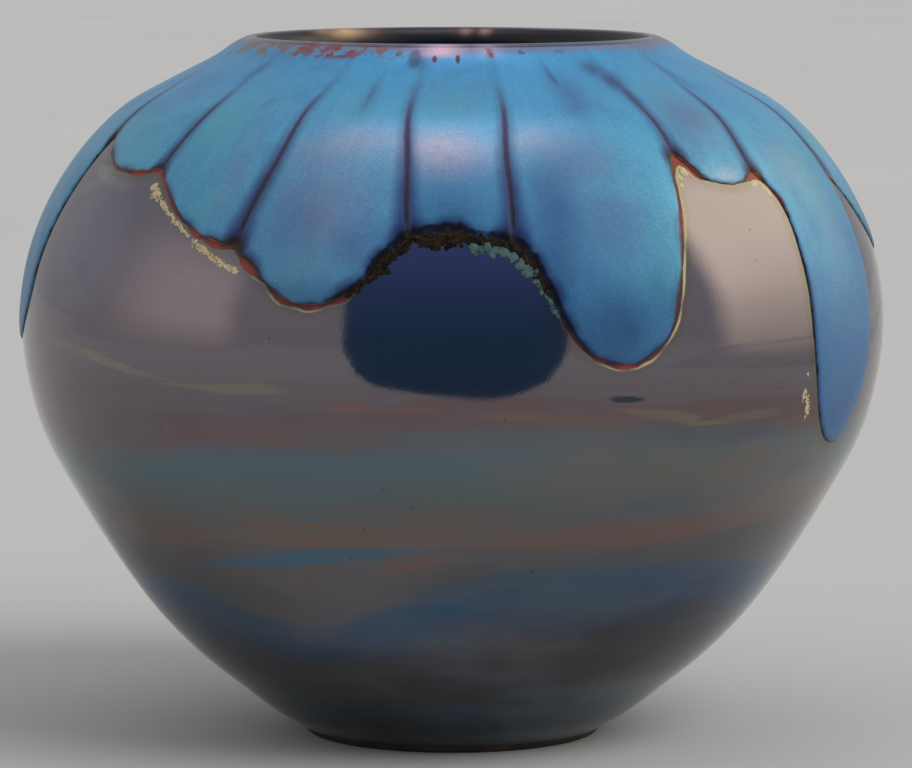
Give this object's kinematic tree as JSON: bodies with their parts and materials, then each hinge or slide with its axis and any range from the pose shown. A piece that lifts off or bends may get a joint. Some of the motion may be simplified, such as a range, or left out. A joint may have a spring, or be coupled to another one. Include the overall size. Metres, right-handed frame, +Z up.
{
  "type": "stoneware pottery vase",
  "caption": "Globular closed-in stoneware vase with a narrow rolled lip, a small foot ring and thick glaze runs hanging down its shoulder.",
  "frame": {"origin": "centre of the foot ring, on the surface the vase stands on", "axes": "+Z up along the axis the vase was thrown on, -Y towards its front, +X to the right of the front"},
  "size_m": [0.201, 0.2004, 0.1625],
  "materials": {
    "bare_clay": "matte unglazed stoneware",
    "lustre_glaze": "mirror-like iridescent lustre",
    "liner_glaze": "glossy dark glaze",
    "lip_glaze": "glossy, flecked with rust",
    "blue_glaze": "satin, dark at the seams, rust at the edge"
  },
  "bodies": {
    "root": {"clay_body": "bare_clay", "ground_lustre_glaze": "lustre_glaze", "lip_glaze_band": "lip_glaze", "inner_liner_glaze": "liner_glaze", "blue_glaze_run_01": "blue_glaze", "blue_glaze_run_02": "blue_glaze", "blue_glaze_run_03": "blue_glaze", "blue_glaze_run_04": "blue_glaze", "blue_glaze_run_05": "blue_glaze", "blue_glaze_run_06": "blue_glaze", "blue_glaze_run_07": "blue_glaze", "blue_glaze_run_08": "blue_glaze", "blue_glaze_run_09": "blue_glaze", "blue_glaze_run_10": "blue_glaze", "blue_glaze_run_11": "blue_glaze", "blue_glaze_run_12": "blue_glaze", "blue_glaze_run_13": "blue_glaze", "blue_glaze_run_14": "blue_glaze", "blue_glaze_run_15": "blue_glaze", "blue_glaze_run_16": "blue_glaze", "blue_glaze_run_17": "blue_glaze"}
  },
  "joints": []
}
